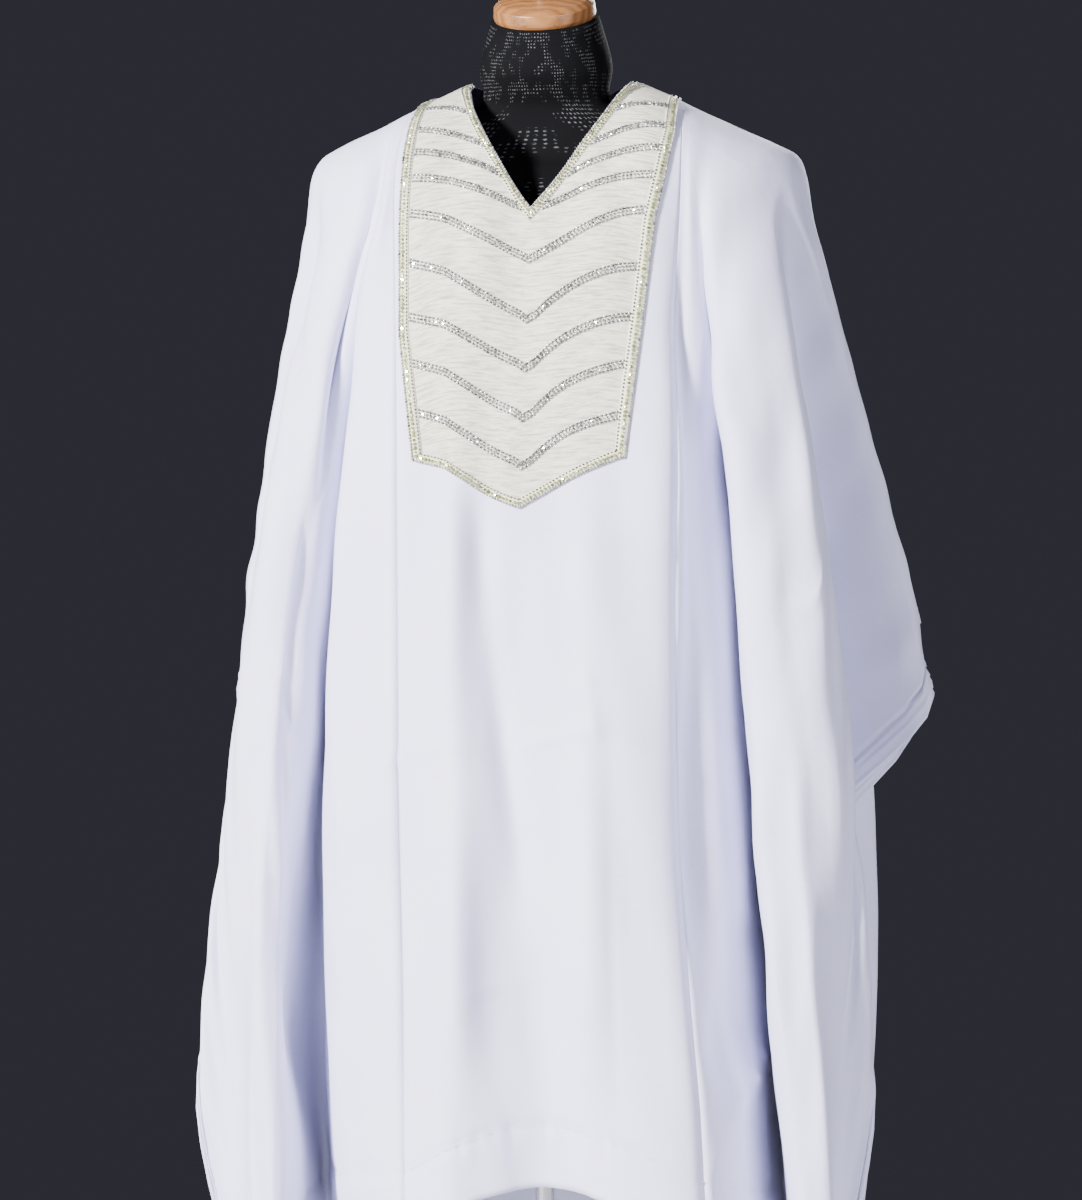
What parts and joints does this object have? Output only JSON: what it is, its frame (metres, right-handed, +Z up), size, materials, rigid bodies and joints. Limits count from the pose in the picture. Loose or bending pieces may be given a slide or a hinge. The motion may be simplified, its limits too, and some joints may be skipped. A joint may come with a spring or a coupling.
{
  "type": "grand boubou robe on a dress form",
  "caption": "Broad loose robe with a chevron-striped bib at its V neck, hanging in deep side folds over a limbless dress form on a pole stand.",
  "frame": {"origin": "centre of the base plate's underside, on the floor", "axes": "+Z up the pole, -Y out of the front of the robe, +X to a wearer's left, which is the right-hand side seen from the front"},
  "size_m": [0.7376, 0.4427, 1.6176],
  "materials": {
    "robe_cloth": "smooth matt white cotton blend with a soft sheen",
    "bib_cloth": "ivory cloth with a fine crinkle across it",
    "border_trim": "cream and pale green-gold beaded edging",
    "silver_braid": "twin rows of silver beads with clear stones between",
    "form_cover": "black jersey cover with sparse pale dots",
    "turned_wood": "turned light brown wood, satin varnish",
    "pole_steel": "brushed steel tube",
    "base_steel": "brushed steel plate"
  },
  "bodies": {
    "root": {"centre_panel": "robe_cloth", "left_panel": "robe_cloth", "right_panel": "robe_cloth", "bib": "bib_cloth", "neck_border": "border_trim", "bib_border": "border_trim", "braid_1_left": "silver_braid", "braid_1_right": "silver_braid", "braid_2_left": "silver_braid", "braid_2_right": "silver_braid", "braid_3_left": "silver_braid", "braid_3_right": "silver_braid", "braid_4_left": "silver_braid", "braid_4_right": "silver_braid", "braid_5": "silver_braid", "braid_6": "silver_braid", "braid_7": "silver_braid", "braid_8": "silver_braid", "braid_9": "silver_braid", "form_torso": "form_cover", "neck_cap": "turned_wood", "neck_knob": "turned_wood", "pole": "pole_steel", "base_plate": "base_steel"}
  },
  "joints": []
}
